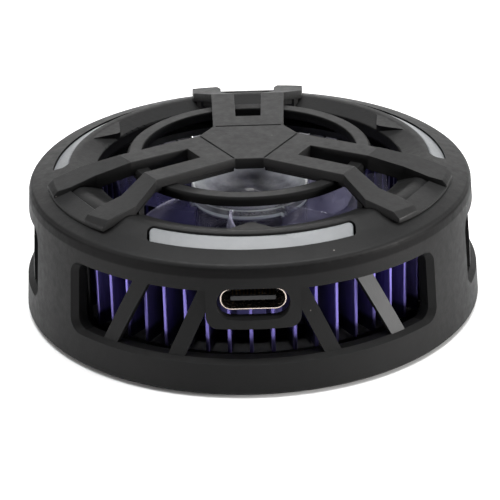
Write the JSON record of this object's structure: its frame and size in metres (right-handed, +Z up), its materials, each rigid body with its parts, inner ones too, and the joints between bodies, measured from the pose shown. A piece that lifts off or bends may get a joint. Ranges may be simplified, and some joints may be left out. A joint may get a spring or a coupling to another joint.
{
  "type": "magnetic tablet cooler",
  "caption": "Round clip-on tablet cooler with a finned ring, a clear fan under a forked guard, side windows, light bars, a USB-C socket and a magnetic cold face.",
  "frame": {"origin": "centre of the flat underside that rests on the tablet", "axes": "+Z up through the fan guard, -Y to the USB-C socket, +X to its right seen from the socket's side"},
  "size_m": [0.0664, 0.0664, 0.024],
  "materials": {
    "housing_black": "matte, fine moulded texture",
    "guard_black": "matte, fine moulded texture",
    "light_guide_white": "satin, slightly translucent",
    "clear_plastic": "clear, polished",
    "purple_anodised": "anodised, satin",
    "bare_aluminium": "satin",
    "steel_shell": "bright, plated",
    "steel_dark": "satin",
    "steel_screw": "blackened",
    "socket_plastic": "matte",
    "contact_gold": "plated",
    "board_black": "solder mask",
    "chip_black": "matte",
    "led_white": "satin",
    "ceramic_white": "unglazed",
    "semiconductor": "soldered",
    "pad_grey": "soft",
    "foam_black": "open foam",
    "rubber_black": "soft, matte",
    "magnet_nickel": "nickel plated",
    "ferrite_black": "sintered",
    "copper_wire": "enamelled",
    "core_steel": "laminated",
    "bearing_bronze": "sintered",
    "lead_black": "insulated"
  },
  "bodies": {
    "housing": {"board_chips": "chip_black", "bottom_cover": "housing_black", "case_screws": "steel_screw", "cold_plate": "bare_aluminium", "contact_pad": "rubber_black", "fan_base": "chip_black", "fan_bearing": "bearing_bronze", "fan_circuit_board": "board_black", "fan_guard": "guard_black", "fan_leads": "lead_black", "fan_screws": "steel_screw", "heatsink": "purple_anodised", "heatsink_screws": "steel_screw", "housing_shell": "housing_black", "insulation_ring": "foam_black", "led_chips": "led_white", "light_guide_front": "light_guide_white", "light_guide_left": "light_guide_white", "light_guide_right": "light_guide_white", "magnet_ring": "magnet_nickel", "magnet_shunt": "steel_dark", "main_circuit_board": "board_black", "peltier_cold_plate": "ceramic_white", "peltier_hot_plate": "ceramic_white", "peltier_leads": "lead_black", "peltier_legs": "semiconductor", "stator_coils": "copper_wire", "stator_core": "core_steel", "thermal_pad": "pad_grey", "usb_contacts": "contact_gold", "usb_socket_shell": "steel_shell", "usb_socket_tongue": "socket_plastic"},
    "rotor": {"impeller": "clear_plastic", "rotor_magnet": "ferrite_black", "rotor_yoke": "steel_dark", "fan_shaft": "steel_dark"}
  },
  "joints": [
    {"name": "fan_spin", "type": "hinge", "parent": "housing", "child": "rotor", "pos_m": [0, 0, 0.01], "axis": [0, 0, 1], "continuous": true}
  ]
}
